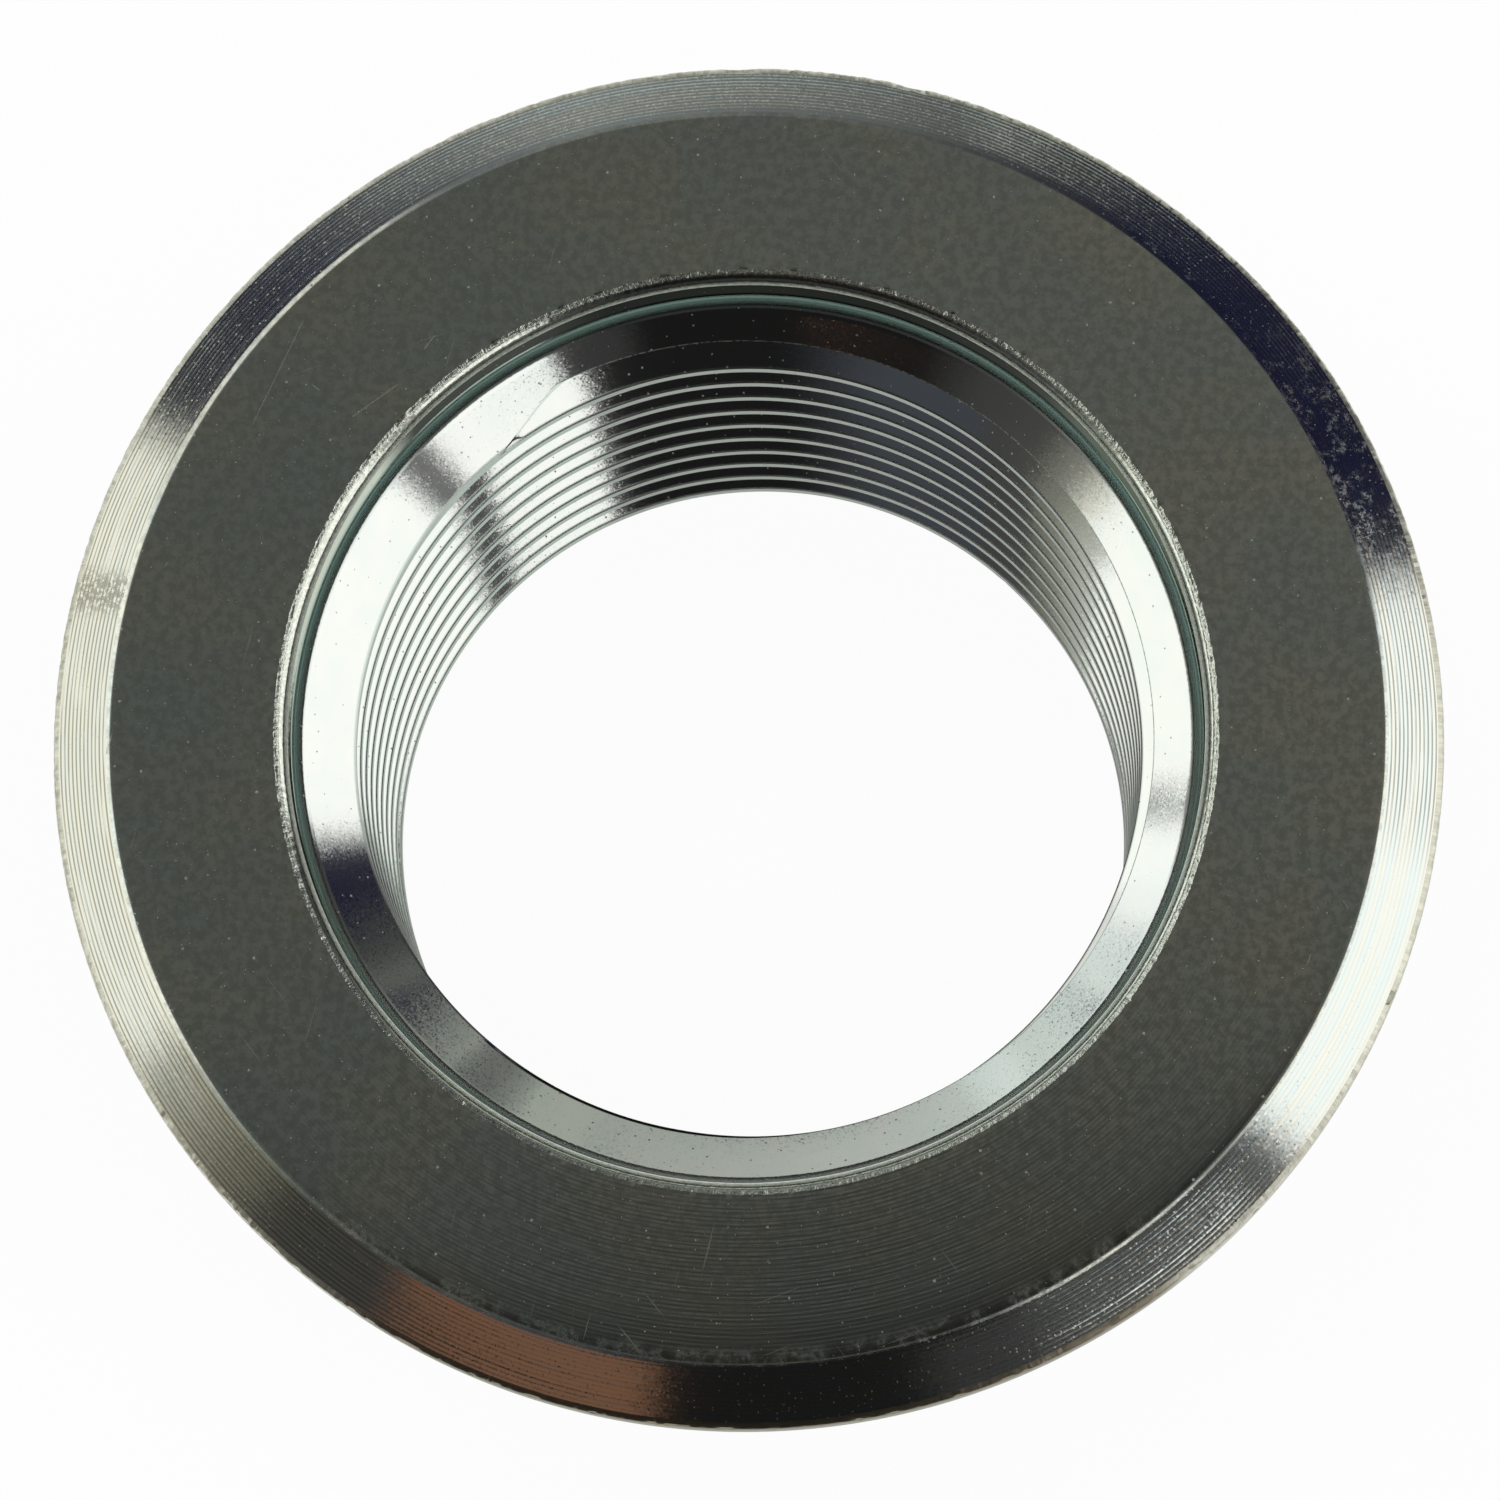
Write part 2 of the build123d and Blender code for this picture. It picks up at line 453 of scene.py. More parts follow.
# ---- Materials -----------------------------------------------------------------------------------
# These two tilt the shading and not the mesh, so that the metal mirrors what it mirrors in the photo.
WALL_LEAN = -0.9  # of the seat's upright wall
CONE_LEAN = -0.016  # of the lower side of the lead-in cone
TINT_AT_EDGE = (0.86, 0.93, 0.90, 1)  # clear passivated zinc turns a little green at a grazing angle
SCRATCHES = (  # on the face: from x, y to x, y, in millimetres, then how strongly it shows
    (-17.4, 16.5, -19.4, 12.1, 0.35),
    (-12.2, 15.8, -12.7, 15.1, 0.5),
    (-13.6, 13.8, -15.5, 12.4, 0.45),
    (-17.1, 13.8, -16.7, 13.5, 0.5),
    (22.9, -7.0, 23.2, -7.5, 0.5),
    (21.7, -9.1, 21.5, -9.7, 0.5),
)


class Shader:
    """A node tree under construction, with short names for the nodes used here."""

    def __init__(self, tree):
        self.tree = tree
        tree.nodes.clear()

    def node(self, kind, inputs=(), **settings):
        made = self.tree.nodes.new(kind)
        for name, value in settings.items():
            setattr(made, name, value)
        for name, value in dict(inputs).items():
            self.put(made.inputs[name], value)
        return made

    def put(self, socket, value):
        if isinstance(value, bpy.types.NodeSocket):
            self.tree.links.new(value, socket)
        elif value is not None:
            socket.default_value = value

    def math(self, operation, *values):
        made = self.node("ShaderNodeMath", dict(enumerate(values)), operation=operation)
        return made.outputs[0]

    def product(self, *values):
        total = values[0]
        for value in values[1:]:
            total = self.math("MULTIPLY", total, value)
        return total

    def sum(self, *values):
        total = values[0]
        for value in values[1:]:
            total = self.math("ADD", total, value)
        return total

    def most(self, *values):
        total = values[0]
        for value in values[1:]:
            total = self.math("MAXIMUM", total, value)
        return total

    def vector(self, operation, *values):
        made = self.node("ShaderNodeVectorMath", dict(enumerate(values)), operation=operation)
        return made.outputs["Value" if operation in ("DOT_PRODUCT", "LENGTH") else "Vector"]

    def scale(self, vector, factor):
        inputs = {"Vector": vector, "Scale": factor}
        return self.node("ShaderNodeVectorMath", inputs, operation="SCALE").outputs["Vector"]

    def combine(self, x=0.0, y=0.0, z=0.0):
        return self.node("ShaderNodeCombineXYZ", {"X": x, "Y": y, "Z": z}).outputs[0]

    def step(self, value, low, high, to_low=0.0, to_high=1.0):
        """Goes smoothly from one level to another while the value goes from low to high."""
        inputs = {"Value": value, "From Min": low, "From Max": high, "To Min": to_low, "To Max": to_high}
        return self.node("ShaderNodeMapRange", inputs, interpolation_type="SMOOTHSTEP").outputs[0]

    def mix(self, factor, a, b, blend="MIX"):
        made = self.node("ShaderNodeMix", data_type="RGBA", blend_type=blend)
        for name, value in (("Factor_Float", factor), ("A_Color", a), ("B_Color", b)):
            socket = next(s for s in made.inputs if s.identifier == name)
            self.put(socket, (*value, 1) if isinstance(value, tuple) and len(value) == 3 else value)
        return next(s for s in made.outputs if s.identifier == "Result_Color")

    def ramp(self, position, stops):
        """Colour that changes evenly between stops, each a position and a colour."""
        made = self.node("ShaderNodeValToRGB", {"Fac": position})
        elements = made.color_ramp.elements
        elements.remove(elements[-1])
        for number, (place, colour) in enumerate(stops):
            element = elements[0] if number == 0 else elements.new(place)
            element.position = place
            element.color = (*colour, 1)
        return made.outputs["Color"]

    def noise(self, vector, scale, detail=2.0, roughness=0.5, spread="2D"):
        inputs = {"Vector": vector, "Scale": scale, "Detail": detail, "Roughness": roughness}
        return self.node("ShaderNodeTexNoise", inputs, noise_dimensions=spread).outputs["Fac"]

    def cells(self, vector, scale, spread="2D"):
        inputs = {"Vector": vector, "Scale": scale}
        return self.node("ShaderNodeTexVoronoi", inputs, voronoi_dimensions=spread)


class Zinc(Shader):
    """Zinc-plated steel. Lengths in it are millimetres in the object's own frame.

    Grain lies on the sheet: the XY plane for the face and the bevel, a rolled-out cylinder for what
    stands up round the axis, and plain space for the hexagon.
    """

    def __init__(self, name, wrapped_at=None, spread="2D"):
        self.material = bpy.data.materials.new(name)
        self.material.use_nodes = True
        super().__init__(self.material.node_tree)
        object_place = self.node("ShaderNodeTexCoord").outputs["Object"]
        self.place = self.scale(object_place, 1 / MM)
        parts = self.node("ShaderNodeSeparateXYZ", {"Vector": self.place})
        self.x, self.y, self.z = parts.outputs
        self.radius = self.math("SQRT", self.sum(self.product(self.x, self.x), self.product(self.y, self.y)))
        self.angle = self.math("ARCTAN2", self.y, self.x)
        self.sheet, self.spread = self.place, spread
        if wrapped_at:
            up = self.sum(self.z, self.product(self.radius, 0.5))
            self.sheet = self.combine(self.product(self.angle, wrapped_at), up)

    def grain(self, scale, detail=2.0, roughness=0.5):
        return self.noise(self.sheet, scale, detail, roughness, self.spread)

    def round_lines(self, along, stretch=1.2, scale=5.0, detail=2.0):
        """Fine lines that run round the axis, spaced along a length such as the radius."""
        vector = self.combine(along, self.product(self.angle, stretch), 0.0)
        return self.noise(vector, scale, detail, 0.7)

    def pits(self, size, reach, share):
        """Small round spots. Size is between their centres, reach their widest radius."""
        cell = self.cells(self.sheet, 1 / size, self.spread)
        chance = self.node("ShaderNodeSeparateColor", {"Color": cell.outputs["Color"]}).outputs[0]
        width = self.product(self.step(chance, 1 - share, 1.0), reach / size)
        inputs = {"Value": cell.outputs["Distance"], "From Min": self.product(width, 0.35), "From Max": width}
        inputs.update({"To Min": 1.0, "To Max": 0.0})
        mask = self.node("ShaderNodeMapRange", inputs, interpolation_type="SMOOTHSTEP").outputs[0]
        return self.product(mask, self.step(chance, 1 - share, 1 - share + 0.01))

    def crystals(self, size, tilt, power=1.5):
        """Surface direction leant by a different amount on each small crystal face of the plating."""
        cell = self.cells(self.sheet, 1 / size, self.spread).outputs["Color"]
        first = self.node("ShaderNodeSeparateColor", {"Color": cell}).outputs[0]
        chance = self.math("FRACT", self.product(first, 61.7))
        amount = self.product(self.math("POWER", chance, power), tilt)
        lean = self.scale(self.vector("SUBTRACT", cell, (0.5, 0.5, 0.5)), amount)
        straight = self.node("ShaderNodeNewGeometry").outputs["Normal"]
        return self.vector("NORMALIZE", self.vector("ADD", straight, lean))

    def near(self, angle, half_width, soft):
        """1 within some degrees of an angle round the axis, falling to 0 outside it."""
        away = self.math("SUBTRACT", self.angle, math.radians(angle))
        away = self.math("ABSOLUTE", self.math("WRAP", away, math.pi, -math.pi))
        return self.step(away, math.radians(half_width), math.radians(half_width + soft), 1.0, 0.0)

    def scratch(self, x0, y0, x1, y1, half_width=0.035):
        """1 along a straight scratch on the face."""
        length = math.hypot(x1 - x0, y1 - y0)
        ux, uy = (x1 - x0) / length, (y1 - y0) / length
        offset = self.vector("SUBTRACT", self.place, (x0, y0, TOP))
        along = self.vector("DOT_PRODUCT", offset, (ux, uy, 0.0))
        across = self.math("ABSOLUTE", self.vector("DOT_PRODUCT", offset, (-uy, ux, 0.0)))
        line = self.step(across, half_width * 0.5, half_width, 1.0, 0.0)
        start, end = self.step(along, 0.0, 0.15), self.step(along, length - 0.15, length, 1.0, 0.0)
        return self.product(line, start, end)

    def finish(self, colour, roughness, height=None, normal=None):
        """Puts the surface together. The height is in millimetres."""
        if height is not None:
            inputs = {"Height": height, "Strength": 1.0, "Distance": MM, "Normal": normal}
            normal = self.node("ShaderNodeBump", inputs).outputs["Normal"]
        surface = self.node("ShaderNodeBsdfPrincipled")
        self.put(surface.inputs["Base Color"], (*colour, 1) if isinstance(colour, tuple) else colour)
        self.put(surface.inputs["Roughness"], roughness)
        self.put(surface.inputs["Normal"], normal)
        surface.inputs["Metallic"].default_value = 1.0
        surface.inputs["Specular Tint"].default_value = TINT_AT_EDGE
        output = self.node("ShaderNodeOutputMaterial")
        self.tree.links.new(surface.outputs["BSDF"], output.inputs["Surface"])
        return self.material


def face_material():
    """Faced and satin, with soft clouds, fine hairlines, specks and a few scratches."""
    zinc = Zinc("zinc_face")
    clouds = zinc.step(zinc.grain(0.16, 3.0, 0.6), 0.35, 0.65)
    colour = zinc.mix(clouds, (0.71, 0.76, 0.73), (0.80, 0.785, 0.70))
    mottle = zinc.grain(2.4, 3.0, 0.7)
    colour = zinc.mix(zinc.step(mottle, 0.35, 0.65, 0.0, 0.6), colour, (0.48, 0.50, 0.46))
    specks = zinc.product(zinc.pits(0.9, 0.08, 0.45), zinc.step(zinc.grain(1.1), 0.40, 0.60))
    dust = zinc.product(zinc.pits(0.31, 0.04, 0.4), zinc.step(zinc.grain(1.7), 0.40, 0.60))
    hairs = 0.0
    for turn, seed in ((20, 3.0), (75, 11.0), (128, 23.0)):
        c, s = math.cos(math.radians(turn)), math.sin(math.radians(turn))
        along = zinc.vector("DOT_PRODUCT", zinc.place, (c * 0.22, s * 0.22, 0.0))
        across = zinc.vector("DOT_PRODUCT", zinc.place, (-s * 6.0, c * 6.0, 0.0))
        streak = zinc.noise(zinc.combine(zinc.sum(along, seed), across), 1.0, 1.0, 0.4)
        hairs = zinc.most(hairs, zinc.step(streak, 0.80, 0.88))
    marks = zinc.product(hairs, 0.3)
    for x0, y0, x1, y1, strength in SCRATCHES:
        marks = zinc.most(marks, zinc.product(zinc.scratch(x0, y0, x1, y1), strength))
    wear = zinc.most(specks, zinc.product(dust, 0.8), marks)
    rubbed = zinc.sum(zinc.near(-92, 34, 16), zinc.product(zinc.near(22, 12, 8), 0.8))
    edge, patches = zinc.step(zinc.radius, 24.0, 24.55), zinc.step(zinc.grain(1.3, 3.0), 0.36, 0.62)
    rubbed = zinc.product(rubbed, edge, patches)
    wear = zinc.most(wear, zinc.product(rubbed, zinc.step(zinc.grain(5.0), 0.25, 0.7, 0.05, 0.26)))
    roughness = zinc.sum(zinc.step(mottle, 0.3, 0.7, 0.14, 0.19), zinc.product(wear, 0.6))
    facing = zinc.math("SINE", zinc.product(zinc.radius, TURN / FEED))
    lines = zinc.round_lines(zinc.radius)
    height = zinc.sum(zinc.product(facing, 0.00025), zinc.product(lines, 0.002))
    return zinc.finish(colour, roughness, height)


def bevel_material():
    """Turned: bright lands between fine lines with painted shade along them, a little sparkle, and a few
    rubbed patches.
    """
    zinc = Zinc("zinc_bevel")
    vector = zinc.combine(zinc.product(zinc.radius, 3.0), zinc.product(zinc.angle, 0.9))
    hue = zinc.step(zinc.noise(vector, 1.0, 3.0, 0.7), 0.35, 0.65)
    colour = zinc.mix(hue, (0.81, 0.80, 0.74), (0.75, 0.80, 0.79))
    turns = zinc.math("DIVIDE", zinc.math("SUBTRACT", zinc.radius, FACE_RADIUS + 0.16 + FEED / 2), FEED)
    from_groove = zinc.math("ABSOLUTE", zinc.math("SUBTRACT", turns, zinc.math("ROUND", turns)))
    broken = zinc.step(zinc.noise(vector, 6.0, 2.0, 0.7), 0.30, 0.48)
    # Painted shade along the fine lines between the lands, strongest round 178 and 4 degrees.
    line = zinc.product(zinc.step(from_groove, 0.14, 0.26, 1.0, 0.0), broken)
    grain = zinc.grain(4.0, 3.0, 0.8)
    rub = zinc.product(zinc.near(167.5, 0.8, 2.0), zinc.step(grain, 0.42, 0.52))
    groove_shade_sides = zinc.most(zinc.near(178, 45, 30), zinc.product(zinc.near(4, 10, 8), 0.7))
    groove_shade_strength = zinc.sum(0.09, zinc.product(groove_shade_sides, 0.82))
    # The painted shade of the lines, together with the real rub at 167.5 degrees.
    dark = zinc.most(zinc.product(line, groove_shade_strength), zinc.product(rub, 0.7))
    colour = zinc.mix(dark, colour, (0.15, 0.15, 0.12))
    patch = zinc.most(zinc.near(24, 8, 8), zinc.step(zinc.radius, 25.3, 24.9, 0.0, 0.8))
    scuffs = zinc.product(zinc.near(32, 16, 10), zinc.step(zinc.grain(1.1), 0.42, 0.62), patch)
    scuffs = zinc.product(scuffs, zinc.step(grain, 0.44, 0.62))
    specks = zinc.pits(0.24, 0.055, 0.4)
    colour = zinc.mix(zinc.product(zinc.near(178, 45, 30), 0.35), colour, (0.58, 0.54, 0.42))
    rough = zinc.most(zinc.product(rub, 0.2), zinc.product(scuffs, 0.17), zinc.product(specks, 0.20))
    return zinc.finish(colour, zinc.sum(rough, 0.11), normal=zinc.crystals(0.08, 0.035, 1.5))


def mouth_material():
    """The rounded edge of the mouth, brightest and roughest where it is torn beside the face, with painted
    shade on the wall under it.
    """
    zinc = Zinc("zinc_mouth", wrapped_at=MOUTH_RADIUS)
    grain = zinc.grain(5.0, 3.0, 0.7)
    colour = zinc.mix(zinc.step(grain, 0.35, 0.65), (0.62, 0.66, 0.59), (0.84, 0.84, 0.77))
    torn = zinc.step(zinc.radius, MOUTH_RADIUS - 0.20, MOUTH_RADIUS - 0.10)
    lip = TOP - MOUTH_EDGE_DEPTH
    # Painted shade on the wall just under the lip.
    colour = zinc.mix(zinc.step(zinc.z, lip - 0.02, lip + 0.04, 1.0, 0.0), colour, (0.36, 0.40, 0.35))
    lean = zinc.product(zinc.math("MINIMUM", zinc.z, lip), WALL_LEAN)
    height = zinc.sum(lean, zinc.product(grain, zinc.sum(zinc.product(torn, 0.035), 0.003)))
    leant = zinc.crystals(0.09, zinc.sum(zinc.product(torn, 0.22), 0.05), 1.5)
    return zinc.finish(colour, zinc.sum(zinc.product(torn, 0.15), 0.12), height, leant)


def bore_material():
    """Seat, lead-in cone and thread: bright with a fine sandy grain, with painted shade on the thread's
    crests and in the seat.
    """
    zinc = Zinc("zinc_bore", wrapped_at=BORE_RADIUS)
    shade = zinc.grain(0.5, 2.0, 0.6)
    colour = zinc.mix(zinc.step(shade, 0.3, 0.7), (0.77, 0.80, 0.78), (0.81, 0.81, 0.79))
    # Painted shade on the thread's crests, lighter and greener round 155 degrees.
    crest = zinc.step(zinc.radius, BORE_RADIUS + 0.03, BORE_RADIUS + 0.12, 1.0, 0.0)
    wear_and_shade = zinc.mix(zinc.near(155, 38, 5), (0.44, 0.45, 0.42), (0.60, 0.66, 0.60))
    colour = zinc.mix(crest, colour, wear_and_shade)
    # Painted shade in the seat, dark teal low on the fillet, lighter on the wall, darkest round -82 degrees.
    seat = zinc.step(zinc.z, TOP - 2.5, TOP - 2.2)
    wall = zinc.step(zinc.z, TOP - 1.9, TOP - 1.3)
    seat_shade = zinc.mix(wall, (0.17, 0.25, 0.23), (0.46, 0.50, 0.44))
    seat_shade = zinc.mix(zinc.product(zinc.near(-82, 72, 18), 0.6), seat_shade, (0.10, 0.12, 0.10))
    colour = zinc.mix(seat, colour, seat_shade)
    spots = zinc.pits(0.55, 0.06, 0.5)
    smooth = zinc.sum(0.09, zinc.product(seat, 0.06), zinc.product(wall, -0.08), zinc.product(crest, 0.2))
    roughness = zinc.sum(zinc.product(spots, 0.45), smooth)
    wall_lean = zinc.product(zinc.most(zinc.sum(zinc.z, 1.75 - TOP), 0.0), WALL_LEAN)
    on_cone = zinc.step(zinc.z, CONE_BOTTOM, CONE_BOTTOM + 0.1)
    cone_lean = zinc.product(zinc.z, zinc.near(-90, 30, 12), on_cone, CONE_LEAN)
    return zinc.finish(colour, roughness, zinc.sum(wall_lean, cone_lean), zinc.crystals(0.055, 0.03, 1.0))


def burr_material():
    """The worn line where the thread cuts into the lead-in cone, with painted shade along it. The painted
    shade fades where the thread starts.
    """
    zinc = Zinc("zinc_burr_shade", wrapped_at=BORE_RADIUS)
    start = zinc.near(137, 17, 5)
    # Painted shade along the line, lighter round 137 degrees where the thread starts.
    colour = zinc.mix(start, (0.50, 0.54, 0.50), (0.79, 0.80, 0.78))
    wear_and_shade = zinc.step(zinc.grain(6.0), 0.35, 0.65, 0.16, 0.40)
    roughness = zinc.sum(0.09, zinc.product(wear_and_shade, zinc.near(45, 70, 5)))
    return zinc.finish(colour, roughness)


def rim_material():
    """The flange's rim and its torn corner, with painted shade round -88 degrees."""
    zinc = Zinc("zinc_rim", wrapped_at=RIM_RADIUS)
    grain = zinc.grain(4.0, 3.0, 0.7)
    colour = zinc.mix(zinc.step(grain, 0.35, 0.65), (0.60, 0.58, 0.49), (0.76, 0.74, 0.64))
    # Painted shade on the rim round -88 degrees, darker and browner.
    rim_shade = zinc.near(-88, 32, 6)
    colour = zinc.mix(rim_shade, colour, (0.30, 0.26, 0.20))
    knock = 0.0
    for angle, half_width, _ in NICKS:
        width = math.degrees(half_width / RIM_RADIUS)
        knock = zinc.most(knock, zinc.near(angle, width, width * 0.4))
    knock = zinc.product(knock, zinc.step(zinc.z, TOP - 1.75, TOP - 1.6))
    roughness = zinc.sum(zinc.product(knock, 0.4), 0.3)
    height = zinc.sum(zinc.product(zinc.round_lines(zinc.z, 2.0, 4.0), 0.010), zinc.product(grain, 0.008))
    return zinc.finish(colour, roughness, height, zinc.crystals(0.14, 0.2, 2.0))


def hidden_side(zinc):
    """Colour and roughness of what the photo doesn't show: the hexagon and the free end."""
    shade = zinc.grain(0.35, 4.0, 0.65)
    colour = zinc.mix(zinc.step(shade, 0.3, 0.7), (0.68, 0.72, 0.68), (0.80, 0.79, 0.71))
    return colour, zinc.step(shade, 0.3, 0.7, 0.24, 0.34)


def body_material():
    """The hexagon: drawn flats with lengthwise lines, and turned lines on the underside."""
    zinc = Zinc("zinc_body", spread="3D")
    colour, roughness = hidden_side(zinc)
    upright = zinc.combine(zinc.x, zinc.y, zinc.product(zinc.z, 0.03))
    drawn = zinc.noise(upright, 4.5, 3.0, 0.7, "3D")
    flat = zinc.step(zinc.z, UNDERSIDE - 0.35, UNDERSIDE - 0.15)
    inputs = {"Factor": flat, "A": drawn, "B": zinc.round_lines(zinc.radius)}
    lines = zinc.node("ShaderNodeMix", inputs).outputs[0]
    spots = zinc.pits(1.1, 0.12, 0.6)
    roughness = zinc.sum(roughness, zinc.product(spots, 0.3))
    height = zinc.sum(zinc.product(lines, 0.012), zinc.product(spots, -0.01))
    return zinc.finish(colour, roughness, height, zinc.crystals(0.16, 0.1, 1.5))


def end_material():
    """The free end and its corner chamfers: turned, and a little scuffed."""
    zinc = Zinc("zinc_end")
    colour, roughness = hidden_side(zinc)
    facing = zinc.math("SINE", zinc.product(zinc.radius, TURN / FEED))
    height = zinc.sum(zinc.product(facing, 0.0012), zinc.product(zinc.round_lines(zinc.radius), 0.012))
    return zinc.finish(colour, roughness, height, zinc.crystals(0.16, 0.1, 1.5))


# ---- The nut -------------------------------------------------------------------------------------
def build_nut():
    """The whole nut as one closed mesh, going up the hole, over the flange and down the hexagon."""
    mesh = Mesh()
    exit_ring, cone_ring = add_hole(mesh)
    last = mesh.lathe(cone_ring, seat_rings(), "bore")
    last = mesh.lathe(last, mouth_rings(), "mouth")
    last = mesh.lathe(last, face_rings(), "face")
    last = mesh.lathe(last, bevel_rings(), "bevel")
    last = mesh.lathe(last, rim_rings(), "rim")
    rings, theta, wall, edge, wear_and_shade = body_rings()
    last = mesh.lathe(last, rings, "body")
    last = mesh.lathe(last, end_rings(theta, wall, edge, wear_and_shade), "end")
    mesh.skin(last, exit_ring, "end")

    materials = {
        "face": face_material(),
        "bevel": bevel_material(),
        "mouth": mouth_material(),
        "bore": bore_material(),
        "burr": burr_material(),
        "rim": rim_material(),
        "body": body_material(),
        "end": end_material(),
    }
    data = bpy.data.meshes.new("weld_nut_dressed")
    data.from_pydata((np.concatenate(mesh.points) * MM).tolist(), [], mesh.faces)
    for material in materials.values():
        data.materials.append(material)
    order = {finish: number for number, finish in enumerate(materials)}
    data.polygons.foreach_set("material_index", [order[finish] for finish in mesh.finishes])
    data.shade_smooth()
    data.set_sharp_from_angle(angle=math.radians(17))
    data.update()
    nut = bpy.data.objects.new("weld_nut_dressed", data)
    bpy.context.scene.collection.objects.link(nut)
    return nut


# ---- Floor, light and camera ---------------------------------------------------------------------
# What the metal reflects, going round from +X: an angle in degrees and the light's colour there. These
# were set by comparing the render with the photo, so they suit the photo's view above all.
WHITE, CREAM, BLACK = (1.19, 1.21, 1.17), (1.17, 1.20, 1.14), (0.010, 0.010, 0.010)
NAVY, BROWN = (0.009, 0.010, 0.031), (0.205, 0.103, 0.062)
ROUND_ABOUT = (
    (0, WHITE),
    (23.8, WHITE),
    (28, (0.025, 0.025, 0.04)),
    (33, NAVY),
    (61, NAVY),
    (69, (0.035, 0.037, 0.045)),
    (81, (0.120, 0.125, 0.125)),
    (104, (0.215, 0.225, 0.220)),
    (118, (0.110, 0.120, 0.140)),
    (126, (0.030, 0.033, 0.070)),
    (140.5, NAVY),
    (144.5, CREAM),
    (199, CREAM),
    (203, (0.8, 0.8, 0.7)),
    (208, (0.25, 0.25, 0.22)),
    (214, (0.07, 0.07, 0.065)),
    (228, (0.05, 0.05, 0.05)),
    (238, BLACK),
    (285, BLACK),
    (290, (0.04, 0.04, 0.04)),
    (300, (0.04, 0.04, 0.04)),
    (302, WHITE),
    (323, WHITE),
    (326, (0.15, 0.15, 0.15)),
    (330, (0.15, 0.15, 0.15)),
    (333, WHITE),
    (360, WHITE),
)
LOW_ROUND_ABOUT = (
    (0, WHITE),
    (21.5, WHITE),
    (26, (0.04, 0.04, 0.045)),
    (42, (0.075, 0.078, 0.070)),
    (54, (0.27, 0.285, 0.255)),
    (66, (0.40, 0.43, 0.38)),
    (90, (0.46, 0.49, 0.45)),
    (110, (0.56, 0.60, 0.56)),
    (128, (0.76, 0.84, 0.79)),
    (140, (0.86, 0.94, 0.90)),
    (150, WHITE),
    (155.5, WHITE),
    (158, (0.3, 0.3, 0.3)),
    (161, (0.3, 0.3, 0.3)),
    (163.5, WHITE),
    (201, CREAM),
    (207, (0.2, 0.2, 0.2)),
    (225, (0.08, 0.08, 0.08)),
    (245, (0.04, 0.04, 0.04)),
    (290, (0.04, 0.04, 0.04)),
    (305, (0.12, 0.12, 0.12)),
    (325, (0.12, 0.12, 0.12)),
    (333, WHITE),
    (360, WHITE),
)


OVERHEAD = (0.033, -0.210, 0.977)  # direction of a dark shape above the nut, beside the camera


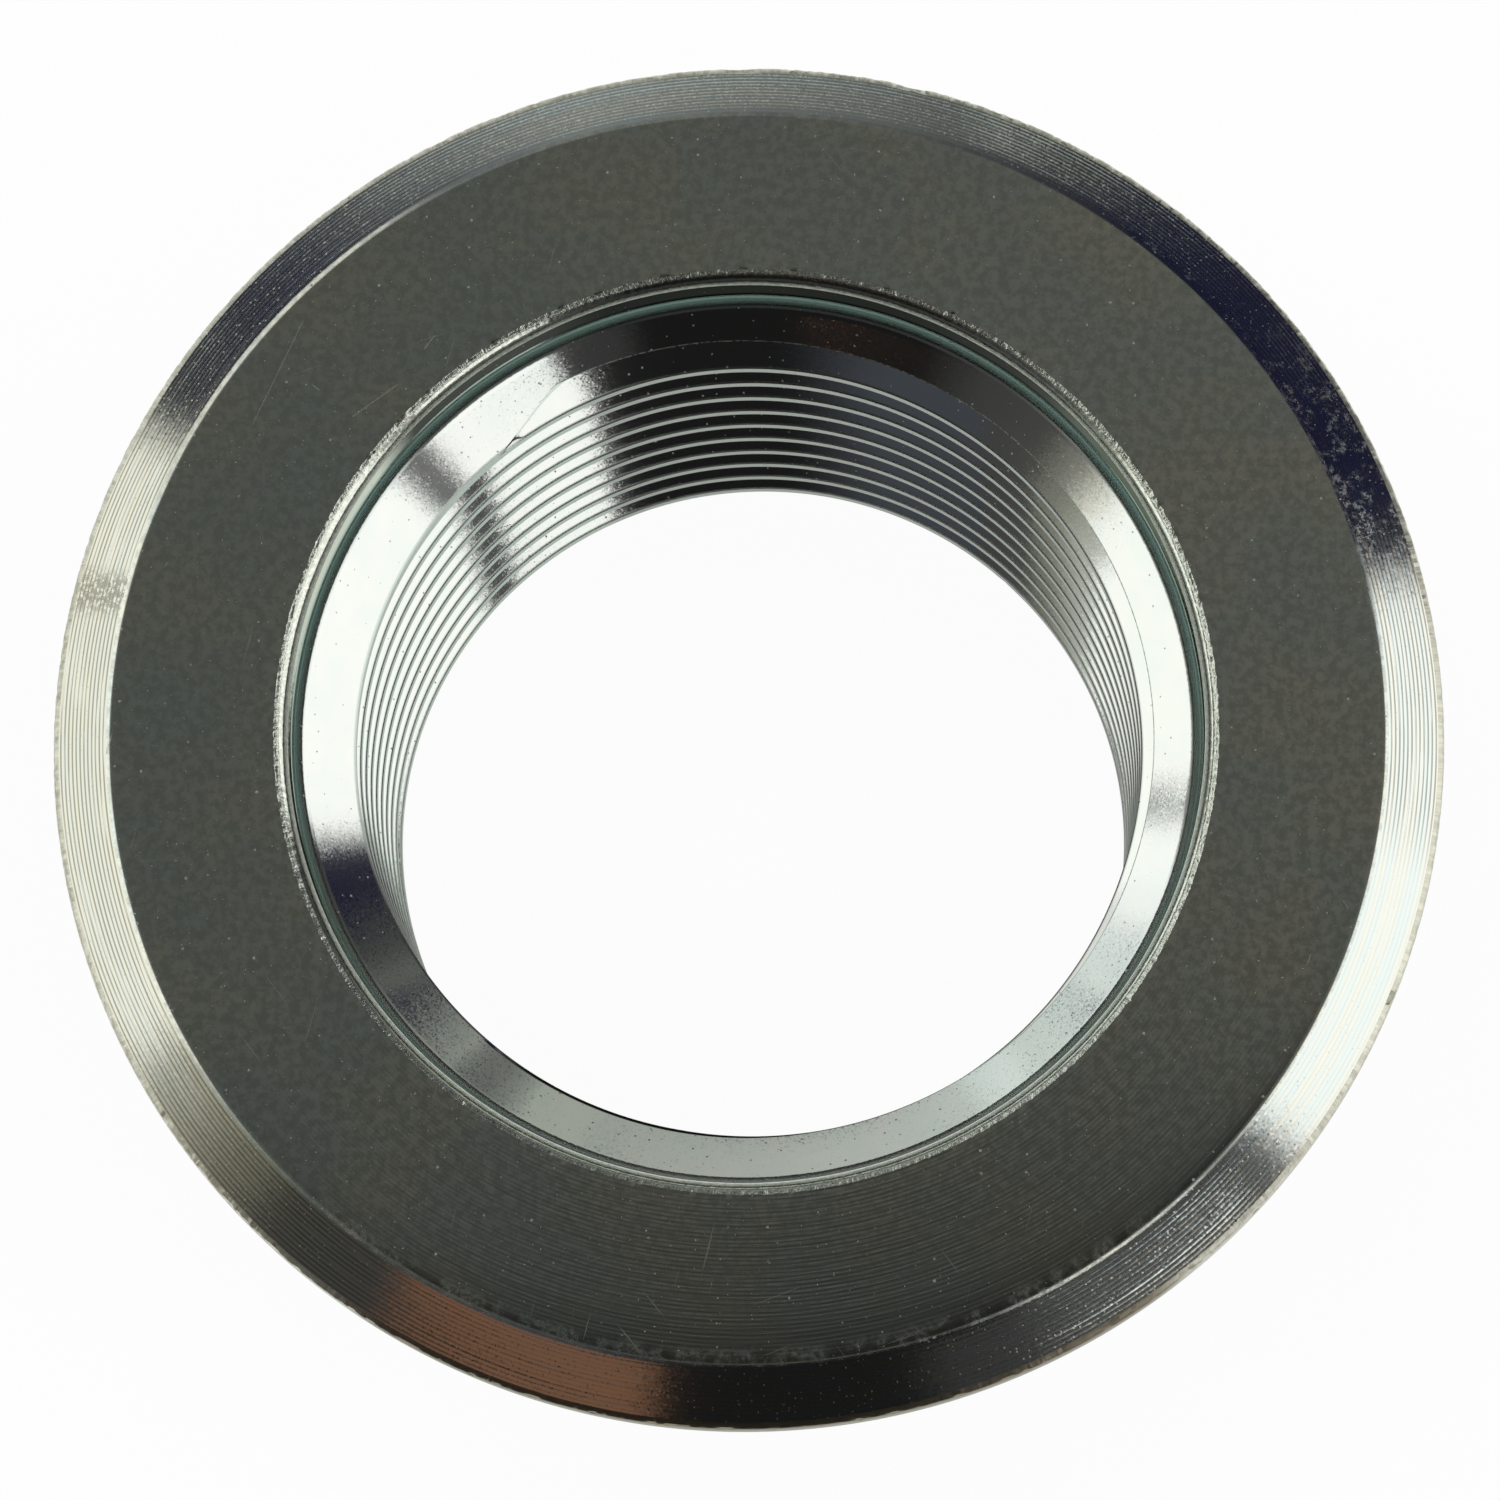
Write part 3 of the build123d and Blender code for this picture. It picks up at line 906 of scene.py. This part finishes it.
def build_world():
    """A dark studio with bright panels for the metal to reflect, and a white backdrop."""
    scene = bpy.context.scene
    scene.world = bpy.data.worlds.new("studio")
    scene.world.use_nodes = True
    sky = Shader(scene.world.node_tree)
    direction = sky.node("ShaderNodeTexCoord").outputs["Generated"]
    x, y, z = sky.node("ShaderNodeSeparateXYZ", {"Vector": direction}).outputs
    around = sky.math("FRACT", sky.math("DIVIDE", sky.math("ARCTAN2", y, x), TURN))

    def above(degrees, soft):
        """1 nearer to the zenith than an angle."""
        low, high = (math.cos(math.radians(degrees + side * soft)) for side in (0.5, -0.5))
        return sky.step(z, low, high)

    def within(first, last, soft):
        """1 between two directions round the axis, in degrees."""
        away = sky.math("ABSOLUTE", sky.math("SUBTRACT", around, (first + last) / 720))
        half = (last - first) / 720
        return sky.step(away, half - soft / 720, half + soft / 720, 1.0, 0.0)

    def panel(behind, light, *masks):
        """The light where all the masks are 1, in front of what is behind it."""
        return sky.mix(sky.product(*masks), behind, light)

    stops = [(angle / 360, light) for angle, light in ROUND_ABOUT]
    low_stops = [(angle / 360, light) for angle, light in LOW_ROUND_ABOUT]
    high = sky.most(
        above(75.2, 2),
        sky.product(above(78, 1.5), within(47, 146, 4)),
        sky.product(above(80, 1.5), within(75, 134, 4)),
    )
    colour = sky.mix(high, sky.ramp(around, low_stops), sky.ramp(around, stops))
    colour = sky.mix(1.0, colour, sky.combine(*[sky.step(z, 0.0, 0.06, 0.5, 1.0)] * 3), "MULTIPLY")

    # Panels laid over that, each in front of the ones before it.
    low = sky.step(z, 0.14, 0.21, 1.0, 0.0)
    colour = panel(colour, (0.24, 0.26, 0.23), low, within(152, 215, 10))
    first, last = sky.step(around, 193 / 360, 199 / 360, 0.0, 0.7), sky.step(around, 0.58, 0.6, 1.0, 0.0)
    colour = panel(colour, (0.2, 0.2, 0.16), above(65.4, 1.6), first, last)
    colour = panel(colour, BROWN, above(58.3, 1.6), within(229, 258, 4))
    colour = panel(colour, (0.045, 0.045, 0.045), above(58.8, 1.0), within(298, 330, 2))
    colour = panel(colour, WHITE, above(48.8, 2), within(301, 324, 2))
    shade = sky.mix(sky.step(around, 243 / 360, 266 / 360), (0.055, 0.062, 0.074), BLACK)
    colour = panel(colour, shade, above(52, 3), within(225, 299, 3))
    colour = panel(colour, (0.85, 0.87, 0.83), above(70, 3), within(118, 148, 4))
    cap = sky.mix(sky.step(x, -0.13, 0.08), (0.098, 0.104, 0.096), (0.124, 0.126, 0.113))
    colour = panel(colour, cap, above(38, 6))
    beside = sky.vector("DOT_PRODUCT", direction, OVERHEAD)
    dark = sky.step(beside, math.cos(math.radians(20.6)), math.cos(math.radians(17.8)))
    colour = panel(colour, (0.018, 0.016, 0.015), dark)

    # White under the horizon, and white for the backdrop that the camera sees.
    colour = sky.mix(sky.step(z, -0.035, 0.0, 1.0, 0.0), colour, (1.0, 1.0, 1.0))
    path = sky.node("ShaderNodeLightPath").outputs
    colour = sky.mix(path["Is Camera Ray"], colour, (1.0, 1.0, 1.0))
    background = sky.node("ShaderNodeBackground", {"Color": colour, "Strength": 1.0})
    output = sky.node("ShaderNodeOutputWorld")
    sky.tree.links.new(background.outputs[0], output.inputs["Surface"])


def build_floor():
    """White ground. It glows a little to rays from the camera and the metal, and keeps the shadow."""
    data = bpy.data.meshes.new("floor")
    size, low = 1.5, -0.00002
    corners = [(-size, -size, low), (size, -size, low), (size, size, low), (-size, size, low)]
    data.from_pydata(corners, [], [(0, 1, 2, 3)])
    material = bpy.data.materials.new("white_ground")
    material.use_nodes = True
    ground = Shader(material.node_tree)
    plain = ground.node("ShaderNodeBsdfDiffuse", {"Color": (0.82, 0.82, 0.82, 1)})
    glow = ground.node("ShaderNodeEmission", {"Color": (1, 1, 1, 1), "Strength": 1.0})
    path = ground.node("ShaderNodeLightPath").outputs
    seen = ground.math("MAXIMUM", path["Is Camera Ray"], path["Is Transmission Ray"])
    share = ground.most(ground.product(seen, 0.95), ground.product(path["Is Glossy Ray"], 0.5))
    blend = ground.node("ShaderNodeMixShader", {0: share})
    ground.tree.links.new(plain.outputs[0], blend.inputs[1])
    ground.tree.links.new(glow.outputs[0], blend.inputs[2])
    output = ground.node("ShaderNodeOutputMaterial")
    ground.tree.links.new(blend.outputs[0], output.inputs["Surface"])
    data.materials.append(material)
    floor = bpy.data.objects.new("floor", data)
    bpy.context.scene.collection.objects.link(floor)
    return floor


def build_lamp():
    """One wide soft lamp overhead. The metal reflects the studio panels instead of it."""
    lamp = bpy.data.lights.new("soft_lamp", "AREA")
    lamp.shape = "DISK"
    lamp.size = 1.6
    lamp.energy = 12.0
    made = bpy.data.objects.new("soft_lamp", lamp)
    made.location = (0, 0, 1.2)
    made.visible_glossy = False
    bpy.context.scene.collection.objects.link(made)
    return made


# The photo's view, fitted to the nut's circles.
VIEW = (8.735, 77.996, 8.93)  # azimuth, elevation and roll, in degrees
VIEW_CENTRE = Vector((0.20, -1.05, TOP))
VIEW_DISTANCE = 208.84
LENS = 129.47


def build_camera():
    azimuth, elevation, roll = (math.radians(value) for value in VIEW)
    back = Vector((math.sin(azimuth), -math.cos(azimuth), 0)) * math.cos(elevation)
    back.z = math.sin(elevation)
    data = bpy.data.cameras.new("camera")
    data.sensor_width = 36
    data.lens = LENS
    data.clip_start, data.clip_end = 0.01, 10
    camera = bpy.data.objects.new("camera", data)
    camera.location = (VIEW_CENTRE + back * VIEW_DISTANCE) * MM
    camera.rotation_mode = "QUATERNION"
    camera.rotation_quaternion = back.to_track_quat("Z", "Y") @ Quaternion((0, 0, 1), -roll)
    bpy.context.scene.collection.objects.link(camera)
    bpy.context.scene.camera = camera


nut = build_nut()
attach(nut, "root")
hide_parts("weld_nut")

build_world()
build_floor()
build_lamp()
build_camera()
bpy.context.scene.view_settings.view_transform = "Standard"

bpy.context.view_layer.update()
